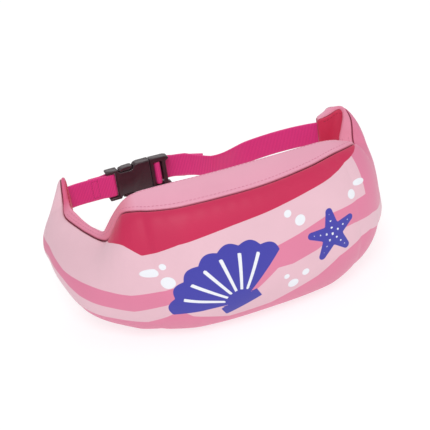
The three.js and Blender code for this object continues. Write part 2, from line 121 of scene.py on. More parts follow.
def fold_at(s):
    """How far the lining leans outwards at the top: a bell about the bend of the right tip, less a
    lower one before it."""
    lean = fold_out * bell(s, fold_out_at, fold_out_run) - fold_in * bell(s, fold_in_at, fold_in_run)
    return lean[:, None]


def stations(step):
    """Places along the belt: a step apart, closer at the hump's ends and round the tips."""
    marks = (left_end, -186, -134, -100, -88, 88, 100, 132, 184, right_end)
    steps = (0.4, 1, 0.3, 0.5, 1, 0.5, 0.3, 1, 0.4)
    parts = [np.linspace(a, b, max(2, round((b - a) / step / k)) + 1)[:-1]
             for a, b, k in zip(marks[:-1], marks[1:], steps)]
    return np.concatenate((*parts, [right_end]))


def place(s, out, height):
    """Points at distances out from the back face and at heights, a row for each s."""
    foot, outward = plan_at(s)
    across = foot[:, None] + outward[:, None] * out[..., None]
    return np.concatenate((across, height[..., None]), -1)


def unit(v):
    """Vectors divided by their lengths."""
    return v / np.maximum(np.linalg.norm(v, axis=-1, keepdims=True), 1e-9)


def normals(grid):
    """Cross product of a grid's two tangents, as unit vectors."""
    return unit(np.cross(np.gradient(grid, axis=0), np.gradient(grid, axis=1)))


def front_rings(s):
    """Closed section at each s. From the top seam's groove and crest a quarter ellipse goes out to the
    bulge, and a leaner one, of cosine and sine to a power, down to the sole. The bottom is flat, and
    straight lines close the ring behind the lining, which leans over in its upper part, and under the
    top. Gives the rings and how many of their columns show and lie hidden at the end."""
    rear, front, top, thick, bottom = (a[:, None] for a in section_at(s))
    bulge = thick - slack * np.clip((thick - slack_from) / slack_over, 0, 1)
    middle = bottom + (front - bottom) * bulge_share
    sole = np.maximum(sole_share * thick, toe + least_sole)
    c = np.concatenate(([0.07, 0.16, 0.27], np.linspace(0.38, np.pi / 2, 14)))[None]
    shoulder = place(s, top + (bulge - top) * np.sin(c), middle + (front - middle) * np.cos(c))
    c = np.linspace(0, np.pi / 2, 13)[None, 1:]
    power = belly_power + right_power * bell(s[:, None], right_power_at, right_power_run)
    belly = place(s, sole + (bulge - sole) * np.cos(c) ** power,
                  middle - (middle - bottom) * np.sin(c) ** power)
    t = np.linspace(0, 1, 6)[None, 1:]
    under = place(s, sole + (toe - sole) * t, bottom + 0 * t)
    lip = place(s, toe - lip_in, bottom + lip_up)
    t = np.linspace(0, 1, 10)[None, 1:]
    low, high = bottom + back_seam + tuck, rear - seam_depth - tuck
    fold = fold_at(s)
    behind = place(s, lining_gap + fold * np.clip(2 * t - 0.8, 0, 1) ** fold_power, low + (high - low) * t)
    t = np.linspace(0, 1, 5)[None, 1:]
    inner = lining_gap + fold
    lid = place(s, inner + (top - lid_in - inner) * t, high + (front - seam_depth - lid_down - high) * t)
    edge = place(s, top, front)
    across = edge - place(s, 0 * top, rear)
    up = unit(np.cross(np.gradient(edge, axis=0), across))
    up *= np.sign(up[..., 2:])
    beside = np.minimum(crest_side, crest_side_share * (bulge - top))[..., None] * unit(across)
    groove = edge - seam_depth * up + groove_share * beside
    crest = edge - crest_depth * up + beside
    ring = np.concatenate((groove, crest, shoulder, belly, under, lip, behind, lid), 1)
    return ring, 2 + shoulder.shape[1] + belly.shape[1], behind.shape[1] + lid.shape[1]


def ring_mesh(name, grid):
    """Mesh through closed rings, a row of the grid each, with a face on each end."""
    rows, ring = grid.shape[:2]
    index = np.arange(rows * ring).reshape(rows, ring)
    a, b = index[:-1], index[1:]
    quads = np.stack((a, b, np.roll(b, -1, 1), np.roll(a, -1, 1)), -1).reshape(-1, 4)
    ends = [index[0].tolist(), index[-1, ::-1].tolist()]
    mesh = bpy.data.meshes.new(name)
    mesh.from_pydata((grid.reshape(-1, 3) / 1000).tolist(), [], quads.tolist() + ends)
    corners = grid.reshape(-1, 3)[quads]
    volume = np.einsum("ij,ij->", corners[:, 0], np.cross(corners[:, 1], corners[:, 2]))
    volume += np.einsum("ij,ij->", corners[:, 0], np.cross(corners[:, 2], corners[:, 3]))
    if volume < 0:
        mesh.flip_normals()
    mesh.shade_smooth()
    return mesh


def add_piece(name, mesh):
    """An object with that mesh, at the origin."""
    piece = bpy.data.objects.new(name, mesh)
    bpy.context.collection.objects.link(piece)
    return piece


def filled(piece, held, cap):
    """Positions after twenty steps of cloth under pressure, held at the sewn points, and no point
    moved further than the cap."""
    piece.vertex_groups.new(name="sewn").add(np.flatnonzero(held).tolist(), 1.0, "REPLACE")
    cloth = piece.modifiers.new("Filling", "CLOTH")
    cloth.settings.vertex_group_mass = "sewn"
    cloth.settings.quality = 6
    cloth.settings.mass = 0.4
    cloth.settings.tension_stiffness = cloth.settings.compression_stiffness = 40
    cloth.settings.shear_stiffness = 20
    cloth.settings.bending_stiffness = 8
    cloth.settings.use_pressure = True
    cloth.settings.uniform_pressure_force = 4
    cloth.settings.effector_weights.gravity = 0
    start = np.empty(len(piece.data.vertices) * 3)
    piece.data.vertices.foreach_get("co", start)
    for step in range(1, 21):
        bpy.context.scene.frame_set(step)
    swollen = piece.evaluated_get(bpy.context.evaluated_depsgraph_get())
    end = np.empty_like(start)
    swollen.data.vertices.foreach_get("co", end)
    bpy.context.scene.frame_set(1)
    move = (end - start).reshape(-1, 3) * 1000
    far = np.linalg.norm(move, axis=1, keepdims=True)
    move *= np.minimum(1, cap / np.maximum(far, 1e-9))
    return start.reshape(-1, 3) * 1000 + move


def refined(grid, rows, columns):
    """A grid at fractional rows and columns, by cubics through its points whose slope at a point is half
    the step between its neighbours; the columns go round in a ring."""
    def cubic(values, at, ring):
        i, t = np.floor(at).astype(int), at - np.floor(at)
        size = len(values)
        near = [(i + k) % size if ring else np.clip(i + k, 0, size - 1) for k in (-1, 0, 1, 2)]
        a, b, c, d = (values[k] for k in near)
        t = t.reshape(-1, *([1] * (values.ndim - 1)))
        return b + 0.5 * t * (c - a + t * (2 * a - 5 * b + 4 * c - d + t * (3 * (b - c) + d - a)))
    lengthwise = cubic(grid, rows, False)
    return cubic(lengthwise.swapaxes(0, 1), columns, True).swapaxes(0, 1)


coarse_step, fine = 5, 4
coarse_s = stations(coarse_step)
coarse, visible, hidden = front_rings(coarse_s)
held = np.ones(coarse.shape[:2], bool)
held[2:-2, 3:visible] = False
blank = add_piece("front_blank", ring_mesh("front_blank", coarse))
coarse = filled(blank, held.ravel(), most_swell).reshape(coarse.shape)
bpy.data.objects.remove(blank)
row_at = np.arange((len(coarse) - 1) * fine + 1) / fine
column_at = np.concatenate((np.arange(visible * fine) / fine, np.arange(visible, coarse.shape[1])))
front_grid = refined(coarse, row_at, column_at)
front_s = np.interp(row_at, np.arange(len(coarse_s)), coarse_s)
front_shown = visible * fine

# soft dents where the wings fold away from the hump, puckers along the top seam and slow ripples
fold_dent, dent_at, dent_run, dent_height, dent_tall = 1.8, 118, 12, 62, 24
pucker, pucker_pitch, pucker_down, pucker_deep = 0.15, 13, 11, 6
ripple, ripple_from, plain_columns = 0.5, 20, 12
down = np.linalg.norm(np.diff(front_grid, axis=1), axis=2).cumsum(1)
down = np.concatenate((np.zeros((len(down), 1)), down), 1)
belt_s, belt_z = front_s[:, None], front_grid[..., 2]
dent = fold_dent * bell(np.abs(belt_s), dent_at, dent_run) * bell(belt_z, dent_height, dent_tall)
puckers = np.cos(2 * np.pi * belt_s / pucker_pitch + np.sin(belt_s / 17))
dent += pucker * puckers * bell(down, pucker_down, pucker_deep)
ripples = np.sin(belt_s / 19 + belt_z / 31) * np.sin(belt_z / 15 - belt_s / 43)
dent += ripple * ripples * np.clip(down / ripple_from, 0, 1)
dent[:, front_shown - plain_columns:] = 0
facing = normals(front_grid)
facing *= np.sign(np.einsum("ijk,ijk->", facing, front_grid - front_grid.mean(1, keepdims=True)))
front_grid -= facing * dent[..., None]
front_grid[..., 2] = np.maximum(front_grid[..., 2], 0)

front_mesh = ring_mesh("padded_front", front_grid)
padded_front = add_piece("padded_front", front_mesh)
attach(padded_front, "root")
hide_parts("front_panel")

# Print on the front, kept on the mesh as distances in millimetres from each colour's edge: a crimson
# field under the top seam, zigzag waves, a fan shell, a sea star and bubbles.
# outside is a distance beyond every edge; the other number is how far down from the top seam the painted
# shade of its groove reaches
outside, seam_shade_width = 9.0, 2.8
shell_at, shell_down, shell_tilt, star_at, star_down = -28, 108, np.radians(-24), 62, 72
# place along the belt, distance down from the top seam and radius of each bubble
bubble_rows = ((34, 46, 5), (24, 36, 3.5), (-86, 72, 6), (-96, 62, 4), (-88, 56, 3), (90, 46, 4.5),
               (98, 38, 3), (20, 106, 5), (32, 98, 3.5), (14, 95, 2.6))


def keep(mesh, name, values):
    """Numbers kept on a mesh's points under a name, for its material."""
    made = mesh.attributes.new(name, "FLOAT", "POINT")
    made.data.foreach_set("value", np.ascontiguousarray(values, np.float32).ravel())


def weave_on(mesh, along, across):
    """Millimetres along and across the cloth, kept on a mesh for the knit of its material."""
    made = mesh.attributes.new("cloth", "FLOAT_VECTOR", "POINT")
    made.data.foreach_set("vector", np.stack((along, across, 0 * along), -1).astype(np.float32).ravel())


def border(s, *points):
    """Height of a border at s: straight lines between its points."""
    return np.interp(s, *np.array(points, float).T)


def shell(x, y, radius, half_angle, lobes):
    """Fan shell about its hinge: radius with a lobe between ribs, inside an angle, and a small foot.
    Gives the distance from its outline and the distance from its ribs."""
    r, turn = np.hypot(x, y), np.arctan2(x, y)
    rib = lobes * (turn + half_angle) / (2 * half_angle)
    outline = radius + 0.07 * radius * np.abs(np.sin(np.pi * rib))
    fan = np.maximum(r - outline, (np.abs(turn) - half_angle) * r)
    foot = np.maximum(np.abs(x) - 0.3 * radius, np.abs(y + 0.02 * radius) - 0.1 * radius)
    off_rib = np.abs(rib - np.round(rib)) * 2 * half_angle / lobes * r
    ribs = np.maximum(off_rib - 1.0 - 0.012 * r, np.maximum(0.25 * radius - r, r - 0.88 * radius))
    inner = np.abs(turn) < half_angle * (1 - 1 / lobes)
    return np.minimum(fan, foot), np.where(inner, ribs, outside)


def star(x, y, radius, arms):
    """Sea star: arms that taper from the middle to round ends, and a row of dots on each arm."""
    turn = (np.arctan2(x, y) + np.pi / arms) % (2 * np.pi / arms) - np.pi / arms
    r = np.hypot(x, y)
    along, beside = r * np.cos(turn), np.abs(r * np.sin(turn))
    t = np.clip(along / (0.86 * radius), 0, 1)
    arm = np.hypot(along - t * 0.86 * radius, beside) - radius * (0.34 - 0.2 * t)
    dots = np.hypot((along / radius * 4 + 0.5) % 1 - 0.5, beside / radius * 4) * radius / 4
    return arm, np.where(along < 0.8 * radius, dots - 1.4 * (1 - 0.5 * t), outside)


belt_s = belt_s + 0 * belt_z
wave = belt_z - border(
    belt_s, (-218, 84), (-181, 75), (-150, 65), (-116, 61), (-104, 60), (-75, 68), (-26, 77), (30, 87),
    (61, 94.5), (86, 93), (100, 93), (101, 140))
crest = belt_z - border(
    belt_s, (-218, 72), (-181, 65), (-150, 57), (-120, 46), (-104, 42), (-88, 49), (-75, 56), (-63, 48),
    (-35, 37), (-14, 46), (7, 62), (21, 61), (46, 66), (68, 76), (88, 74), (103, 70), (118, 58), (150, 60),
    (190, 70), (223, 88))
trough = belt_z - border(
    belt_s, (-218, 64), (-181, 55), (-150, 44), (-120, 32), (-100, 27), (-89, 35), (-80, 41), (-70, 31),
    (-38, 19), (0, 21), (25, 30), (44, 37), (66, 50), (83, 53), (100, 56), (114, 42), (150, 46), (190, 58),
    (223, 76))
field = down - border(
    belt_s, (-120, 2), (-116, 10), (-112, 19), (-105, 33), (-98, 45), (-72, 37), (-24, 31), (23, 26.5),
    (60, 24), (74, 22.8), (85, 20.6), (93, 17.8), (99, 14.4), (104, 10.6), (109, 5.6), (112, 1.5), (114, -3))
shell_x, shell_y = belt_s - shell_at, shell_down - down
fan, ribs = shell(
    shell_x * np.cos(shell_tilt) - shell_y * np.sin(shell_tilt),
    shell_x * np.sin(shell_tilt) + shell_y * np.cos(shell_tilt), radius=58, half_angle=1.15, lobes=7)
arms, dots = star(belt_s - star_at, star_down - down, radius=25, arms=5)
bubbles = np.full(belt_s.shape, outside)
for bubble_at, bubble_down, radius in bubble_rows:
    bubbles = np.minimum(bubbles, np.hypot(belt_s - bubble_at, down - bubble_down) - radius)
column = np.arange(front_grid.shape[1])[None]
shown, tucked_in = column < front_shown, column >= front_grid.shape[1] - hidden
keep(front_mesh, "wave", np.maximum(wave, np.minimum(-crest, trough)))
keep(front_mesh, "field", np.where(shown, field, outside))
# painted shade: the seam attribute marks the first millimetres below the top seam, and marks the tucked-in
# walls behind the lining and under the top as fully shaded, so a gap there reads dark
keep(front_mesh, "seam", np.where(shown, down - seam_shade_width, np.where(tucked_in, -outside, outside)))
keep(front_mesh, "motif", np.where(shown, np.minimum(fan, arms), outside))
keep(front_mesh, "lines", np.where(shown, np.minimum(bubbles, np.minimum(ribs, dots)), outside))
weave_on(front_mesh, belt_s, down)


def linear(code):
    """An sRGB hex colour as linear red, green, blue and alpha."""
    c = np.array([int(code[i:i + 2], 16) for i in (1, 3, 5)]) / 255
    return (*np.where(c <= 0.04045, c / 12.92, ((c + 0.055) / 1.055) ** 2.4).tolist(), 1.0)


def add(tree, kind, inputs=None, **settings):
    """Adds a node with its settings; an input is a value or the socket that is linked to it."""
    made = tree.nodes.new("ShaderNode" + kind)
    for name, value in settings.items():
        setattr(made, name, value)
    for name, value in (inputs or {}).items():
        if isinstance(value, bpy.types.NodeSocket):
            tree.links.new(value, made.inputs[name])
        else:
            made.inputs[name].default_value = value
    return made


# sockets of a Mix node for colours: the upper colour's share, the lower and the upper colour, the result
mix_share, mix_lower, mix_upper, mixed = 0, 6, 7, 2


def textile(name, paint, knitted=True):
    """Matt, faintly downy cloth or thread whose tone changes slowly, over 45 mm. Neoprene is knitted:
    its nylon face has rows of loops, drawn 1.2 mm wide so that they show. paint(tree) gives the
    colour or its socket."""
    tone_run, loop = 0.045, 1.2
    material = bpy.data.materials.new(name)
    material.use_nodes = True
    tree = material.node_tree
    shader = tree.nodes["Principled BSDF"]
    spot = add(tree, "TexCoord").outputs["Object"]
    tone = add(tree, "TexNoise", {"Vector": spot, "Scale": 1 / tone_run, "Detail": 3.0}).outputs["Fac"]
    tone = add(tree, "MapRange", {"Value": tone, "To Min": 0.95, "To Max": 1.05}).outputs["Result"]
    coat = add(tree, "Mix", {mix_share: 1.0, mix_lower: paint(tree), mix_upper: tone},
               data_type="RGBA", blend_type="MULTIPLY")
    tree.links.new(coat.outputs[mixed], shader.inputs["Base Color"])
    if knitted:
        cloth = add(tree, "Attribute", attribute_name="cloth").outputs["Vector"]
        knit = add(tree, "TexVoronoi", {"Vector": cloth, "Scale": 1 / loop, "Randomness": 0.3},
                   voronoi_dimensions="2D").outputs["Distance"]
        bump = add(tree, "Bump", {"Height": knit, "Strength": 0.2, "Distance": 0.0003})
        tree.links.new(bump.outputs["Normal"], shader.inputs["Normal"])
    shader.inputs["Roughness"].default_value = 0.55
    shader.inputs["IOR"].default_value = 1.45
    shader.inputs["Sheen Weight"].default_value = 0.1
    return material


def print_colours_and_seam_shade(tree):
    """Each colour of the print laid over the one before, inside its edge; then painted shade below the top
    seam and on the tucked-in walls.
    """
    colour = linear("#E6BCC8")
    for name, code in (("wave", "#DF7F9F"), ("field", "#C61E50"), ("motif", "#3D3BA6"), ("lines", "#EDEFF5")):
        edge = add(tree, "Attribute", attribute_name=name).outputs["Fac"]
        inside = add(tree, "MapRange", {"Value": edge, "From Min": -0.2, "From Max": 0.2, "To Min": 1.0,
                                        "To Max": 0.0}).outputs["Result"]
        colour = add(tree, "Mix", {mix_share: inside, mix_lower: colour, mix_upper: linear(code)},
                     data_type="RGBA").outputs[mixed]
    # painted shade of the seam groove: the colour multiplied by a dusky pink, fully on the tucked-in walls
    edge = add(tree, "Attribute", attribute_name="seam").outputs["Fac"]
    near = add(tree, "MapRange", {"Value": edge, "From Min": -0.8, "From Max": 0.4, "To Min": 1.0,
                                  "To Max": 0.0}).outputs["Result"]
    return add(tree, "Mix", {mix_share: near, mix_lower: colour, mix_upper: linear("#D6A4B2")},
               data_type="RGBA", blend_type="MULTIPLY").outputs[mixed]


front_mesh.materials.append(textile("Printed knit neoprene", print_colours_and_seam_shade))

# Top gusset
# Plain pink neoprene, cut as a long strip that is widest on the hump and sewn between the front and
# the lining; both edges roll down into their seams.
edge_roll, rear_edge, front_edge, rear_drop, front_drop = 2.4, 0.7, 0.2, 2.4, 2.6
fullness, crown, gusset_ripple = 1.3, 0.04, 0.3


def open_mesh(name, grid):
    """Mesh of a grid with open edges."""
    rows, columns = grid.shape[:2]
    index = np.arange(rows * columns).reshape(rows, columns)
    quads = np.stack((index[:-1, :-1], index[:-1, 1:], index[1:, 1:], index[1:, :-1]), -1).reshape(-1, 4)
    mesh = bpy.data.meshes.new(name)
    mesh.from_pydata((grid.reshape(-1, 3) / 1000).tolist(), [], quads.tolist())
    mesh.shade_smooth()
    return mesh


def eased(count):
    """Shares from 0 to 1, closer together at both ends: half of one minus a cosine."""
    return 0.5 - 0.5 * np.cos(np.linspace(0, np.pi, count))[None]


def rolled(run, width, depth):
    """Drop of an edge that rolls into its seam: a quarter circle over the roll's width."""
    return depth * (1 - np.sqrt(1 - np.clip(1 - run / width, 0, 1) ** 2))


def from_tip(s):
    """Distance along the belt from the nearer tip's end."""
    return np.minimum(s - left_end, right_end - s)[:, None]


def gusset_surface(s, run):
    """Points at distances run out from the back face, and the unit vectors up from them. The strip lies
    straight from edge to edge, is lifted by its fullness, crowned by a parabola, and rolls down at both
    seams and at the tips."""
    rear, front, top = (a[:, None] for a in section_at(s)[:3])
    fold = fold_at(s)
    flat = place(s, run, rear + (front - rear) * (run - fold) / (top - fold))
    upward = normals(flat)
    upward *= np.sign(upward[..., 2:].sum())
    share = (run - fold - rear_edge) / (top - fold - rear_edge - front_edge)
    roll = np.minimum(edge_roll, 0.3 * (top - fold))
    rise = fullness + crown * top * 4 * share * (1 - share)
    drop = np.maximum(rolled(run - fold - rear_edge, roll, rear_drop),
                      rolled(top - front_edge - run, roll, front_drop))
    rise -= np.maximum(drop, rolled(from_tip(s), edge_roll, seam_depth + fullness))
    rise += gusset_ripple * np.sin(s[:, None] / 13) * np.sin(np.pi * share) * np.clip(top / 40, 0, 1)
    return flat + upward * rise[..., None], upward


gusset_s = stations(2.4)
top, fold = section_at(gusset_s)[2][:, None], fold_at(gusset_s)
run = rear_edge + fold + (top - fold - rear_edge - front_edge) * eased(33)
gusset_mesh = open_mesh("gusset_strip", gusset_surface(gusset_s, run)[0])
gusset_strip = add_piece("gusset_strip", gusset_mesh)
keep(gusset_mesh, "reach", gusset_s[:, None] + 0 * run)
# distance from the front edge, which the painted shade at the seam reads
keep(gusset_mesh, "edge", top - front_edge - run)
weave_on(gusset_mesh, gusset_s[:, None] + 0 * run, run)


def gusset_pink_and_painted_shade(tree):
    """Light pink on the hump; painted shade makes it deeper down its left end, along the wings and at the
    left tip, and darkens the front edge where it rolls into the seam."""
    # the hump's pink is the strip's own; the deeper pinks along the wings, down the hump's left end and at
    # the left tip are painted shade
    hump, shaded_wing, step, shaded_tip_end = "#E69FB6", "#E58CA7", "#E0758F", "#D95F84"
    stops = ((left_end, shaded_tip_end), (-200, shaded_tip_end), (-186, shaded_wing), (-136, shaded_wing), (-116, step), (-106, step),
             (-96, hump), (96, hump), (116, shaded_wing), (206, shaded_wing), (213, hump), (right_end, hump))
    reach = add(tree, "Attribute", attribute_name="reach").outputs["Fac"]
    reach = add(tree, "MapRange", {"Value": reach, "From Min": left_end, "From Max": right_end})
    ramp = add(tree, "ValToRGB", {"Fac": reach.outputs["Result"]})
    elements = ramp.color_ramp.elements
    for i, (s, code) in enumerate(stops):
        place_on = (s - left_end) / (right_end - left_end)
        stop = elements[0] if i == 0 else elements[-1] if i == len(stops) - 1 else elements.new(place_on)
        stop.color = linear(code)
    # painted shade where the strip's front edge rolls into the seam: its last 0.7 mm is mixed towards a deep
    # pink
    edge = add(tree, "Attribute", attribute_name="edge").outputs["Fac"]
    near = add(tree, "MapRange", {"Value": edge, "From Min": 0.0, "From Max": 0.7, "To Min": 1.0,
                                  "To Max": 0.0}).outputs["Result"]
    return add(tree, "Mix", {mix_share: near, mix_lower: ramp.outputs["Color"],
                             mix_upper: linear("#B8506E")}, data_type="RGBA").outputs[mixed]


gusset_mesh.materials.append(textile("Pink knit neoprene", gusset_pink_and_painted_shade))
wall = gusset_strip.modifiers.new("Thickness", "SOLIDIFY")
wall.thickness, wall.offset = 0.0022, -1
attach(gusset_strip, "root")
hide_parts("top_gusset")

# rows of stitches along both seams
seam_inset, stitch_pitch, stitch_length = 4.0, 3.8, 2.7
gusset_sewn_from, gusset_sewn_to, gusset_thread, lining_thread = -188.0, 190.0, 0.65, 0.7


def stitches(name, rows, length, thick, code):
    """A lozenge of thread at each point: five rings of six points about the direction along, with the
    radius of half an ellipse, in one mesh. rows holds the middles, directions and ups of each row."""
    middle, along, up = (np.concatenate(v)[:, None, None] for v in zip(*rows))
    t = np.linspace(-1, 1, 5)[None, :, None, None]
    turn = np.radians(60 * np.arange(6))[None, None, :, None]
    spoke = np.cross(up, along) * np.cos(turn) + up * np.sin(turn)
    points = middle + along * t * length / 2 + spoke * thick / 2 * np.sqrt(1 - (0.94 * t) ** 2)
    index = np.arange(points.size // 3).reshape(-1, 5, 6)
    a, b = index[:, :-1], index[:, 1:]
    sides = np.stack((a, b, np.roll(b, -1, 2), np.roll(a, -1, 2)), -1).reshape(-1, 4)
    ends = index[:, 0].tolist() + index[:, -1, ::-1].tolist()
    mesh = bpy.data.meshes.new(name)
    mesh.from_pydata((points.reshape(-1, 3) / 1000).tolist(), [], sides.tolist() + ends)
    mesh.shade_smooth()
    work = bmesh.new()
    work.from_mesh(mesh)
    bmesh.ops.recalc_face_normals(work, faces=work.faces)
    work.to_mesh(mesh)
    work.free()
    mesh.materials.append(textile("Polyester thread of " + name, lambda tree: linear(code), knitted=False))
    piece = add_piece(name, mesh)
    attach(piece, "root")


def spaced(values, run, at):
    """Rows of values that lie at distances run along a line, interpolated at other distances."""
    return np.stack([np.interp(at, run, v) for v in values.T], 1)


def stitch_row(surface):
    """Middles, directions and ups of stitches a pitch apart along the middle of a strip of a surface;
    surface holds the strip's points and the unit vectors up from them."""
    points, ups = surface
    line, ups = points[:, 1], ups[:, 1]
    run = np.concatenate(([0], np.linalg.norm(np.diff(line, axis=0), axis=1).cumsum()))
    at = np.arange(stitch_pitch, run[-1] - stitch_pitch, stitch_pitch)
    along = spaced(np.gradient(line, axis=0), run, at)
    return spaced(line, run, at), unit(along), unit(spaced(ups, run, at))


stitch_s = np.arange(gusset_sewn_from, gusset_sewn_to, 1.0)
top, fold = section_at(stitch_s)[2][:, None], fold_at(stitch_s)
inset, narrow = np.minimum(seam_inset, 0.34 * (top - fold)), np.array([[-0.4, 0, 0.4]])
rows = [stitch_row(gusset_surface(stitch_s, run + narrow)) for run in (fold + inset, top - inset)]
stitches("gusset_stitches", rows, stitch_length, gusset_thread, "#D07C98")

# Lining
# Plain crimson neoprene against the wearer's waist, sewn to the gusset along its top and to the front
# along its bottom.
low_gap, high_gap, high_gap_share = 0.3, 1.4, 1.6
lining_crown, lining_ripple, low_sunk, high_sunk, tip_sunk = 0.9, 0.4, 1.7, 1.5, 2.0


def lining_surface(s, share):
    """Points at shares of the height between the two seams, and the unit vectors out of them towards
    the waist: upright, with a slight crown, leaning over with the right tip's fold, and sunk by a
    quarter circle at both seams and at the tips. The top is lower where the gusset slopes."""
    rear, front, top, thick, bottom = (a[:, None] for a in section_at(s))
    low = bottom + back_seam + low_gap
    high = rear - high_gap - high_gap_share * np.clip((rear - front) / top, 0, 1.5)
    height = low + (high - low) * share
    bulge = lining_crown * np.sin(np.pi * share) ** 2
    bulge = bulge + lining_ripple * np.sin(s[:, None] / 23) * np.sin(2 * np.pi * share)
    sunk = np.maximum(rolled(height - low, edge_roll, low_sunk), rolled(high - height, edge_roll, high_sunk))
    sunk = np.maximum(sunk, rolled(from_tip(s), edge_roll, tip_sunk))
    inward = -np.concatenate((plan_at(s)[1], np.zeros((len(s), 1))), 1)
    lean = fold_at(s) * np.clip(2 * share - 0.9, 0, 1.1) ** fold_power
    return place(s, sunk - bulge + lean, height), inward[:, None] + 0 * height[..., None]


lining_s = stations(3)
share = eased(41)
lining_mesh = open_mesh("waist_lining", lining_surface(lining_s, share)[0])
waist_lining = add_piece("waist_lining", lining_mesh)
weave_on(lining_mesh, lining_s[:, None] + 0 * share, 100 * share + 0 * lining_s[:, None])
lining_mesh.materials.append(textile("Crimson knit neoprene", lambda tree: linear("#CE2C55")))
wall = waist_lining.modifiers.new("Thickness", "SOLIDIFY")
wall.thickness, wall.offset = 0.002, -1
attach(waist_lining, "root")
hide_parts("back_panel")
stitch_s = np.arange(left_end + 4.0, right_end - 3.0, 1.0)
rear, front, top, thick, bottom = section_at(stitch_s)
tall = rear - bottom - back_seam - low_gap - high_gap
inset, narrow = (seam_inset / tall)[:, None], np.array([[-0.01, 0, 0.01]])
rows = [stitch_row(lining_surface(stitch_s, share + narrow)) for share in (inset, 1 - inset)]
stitches("lining_stitches", rows, stitch_length, lining_thread, "#9A1E3E")

# Straps
# Polypropylene webbing, 25 mm wide, woven with ribs across it. The short one is sewn into the left tip
# and folded round the socket's bar; the long one comes from the right tip, turns round the plug's bar
# and ends in a hemmed tail.
web_width, web_thick, web_gap, rib_pitch, rib_share, ribbed_share = 25.0, 1.4, 0.3, 1.6, 0.12, 0.93
hem_thick, tail_length, hem_length = 3.0, 37.0, 19.0
buckle_x, buckle_y, buckle_z = -97.0, 116.0, 92.5
socket_bar, plug_bar, plug_end, plug_thick, bar_radius = 5.8, 54.7, 67.5, 9.0, 2
bar_turn = bar_radius + web_gap + web_thick / 2
layer = (web_thick + web_gap) / 2
corner, spread, fold_back, tucked, path_step = 2.0, 14.0, 24.0, 9.0, 0.45
bow_run, bow_in, bow_back, sag, slot_filled = 42.0, 14.0, 12.0, 4.0, 1.17
top_lean, lean_from, lean_run = 6.5, 70, 74


def bezier(a, b, c, d):
    """Cubic curve from a to d, pulled towards b and c."""
    t = np.linspace(0, 1, 60)[:, None]
    a, b, c, d = (np.asarray(p, float) for p in (a, b, c, d))
    return a * (1 - t) ** 3 + 3 * b * t * (1 - t) ** 2 + 3 * c * t * t * (1 - t) + d * t ** 3


def arc(x, y, radius, start, stop, stretch=1.0):
    """Part of a circle about (x, y), angles in degrees, or of an ellipse that is stretched along x."""
    turn = np.radians(np.linspace(start, stop, 40))[:, None]
    return np.array((x, y)) + radius * np.concatenate((stretch * np.cos(turn), np.sin(turn)), 1)


def evenly(*parts):
    """A path through the parts' points with equal steps, and the distance of each point along it."""
    points = np.concatenate(parts)
    keepers = np.concatenate(([True], np.linalg.norm(np.diff(points, axis=0), axis=1) > 1e-6))
    points = points[keepers]
    run = np.concatenate(([0], np.linalg.norm(np.diff(points, axis=0), axis=1).cumsum()))
    at = np.linspace(0, run[-1], round(run[-1] / path_step) + 1)
    return spaced(points, run, at), at


def tip(s):
    """Middle of a tip's end, from above in the belt's own frame, and the direction out of it."""
    place_s = np.array((s - np.sign(s), s))
    foot, outward = plan_at(place_s)
    ends = foot + outward * section_at(place_s)[3][:, None] / 2 - middle_foot
    return ends[1], unit(ends[1] - ends[0])


def webbing(name, path, run, thick, middle, lean):
    """A flat section with round edges carried along a path, whose top leans to the front; its ribs are a
    cosine along it."""
    along = unit(np.gradient(path, axis=0))
    side = np.stack((-along[:, 1], along[:, 0]), 1)
    half = 14
    b = np.sin(np.linspace(-np.pi / 2, np.pi / 2, half + 1))
    b = np.concatenate((b, b[-2:0:-1]))[None]
    face = np.where(np.arange(2 * half) < half, 1.0, -1.0)[None]
    rib = np.cos(2 * np.pi * run / rib_pitch)[:, None]
    a = face * thick[:, None] / 2 * np.sqrt(1 - np.abs(b) ** 8)
    a = a * (1 + rib_share * rib * (np.abs(b) < ribbed_share))
    flat = path[:, None] + side[:, None] * a[..., None] + middle_foot
    flat[..., 1] -= lean[:, None] * (b + 1) / 2
    height = middle[:, None] + web_width / 2 * b
    mesh = ring_mesh(name, np.concatenate((flat, height[..., None]), -1))
    # the rib and edge attributes carry the painted groove shade and the painted edge highlight
    keep(mesh, "rib", rib + 0 * b)
    keep(mesh, "edge", np.abs(b) + 0 * rib)
    return mesh


start, ahead = tip(float(left_end))
socket_x = buckle_x + socket_bar
join, near, far = socket_x - spread, buckle_y - layer, buckle_y + layer
short_path, short_run = evenly(
    [start - tucked * ahead],
    bezier(start, start + 0.6 * spread * ahead, (join - spread, near), (join, near)),
    bezier((join, near), (join + spread / 3, near), (socket_x - spread / 2, buckle_y - bar_turn),
           (socket_x, buckle_y - bar_turn)),
    arc(socket_x, buckle_y, bar_turn, -90, 90, slot_filled),
    bezier((socket_x, buckle_y + bar_turn), (socket_x - spread / 2, buckle_y + bar_turn),
           (join + spread / 3, far), (join, far)),
    [(socket_x - fold_back, far)])
same = np.ones(len(short_run))
short_middle = buckle_z * same
short_mesh = webbing("short_strap", short_path, short_run, web_thick * same, short_middle, 0 * same)

start, ahead = tip(float(right_end))
plug_x, end_x = buckle_x + plug_bar, buckle_x + plug_end
behind = buckle_y + plug_thick / 2 + web_gap + web_thick / 2
tail = behind + 2 * layer + web_gap
bend = np.array((end_x + bow_run, behind - bow_in))
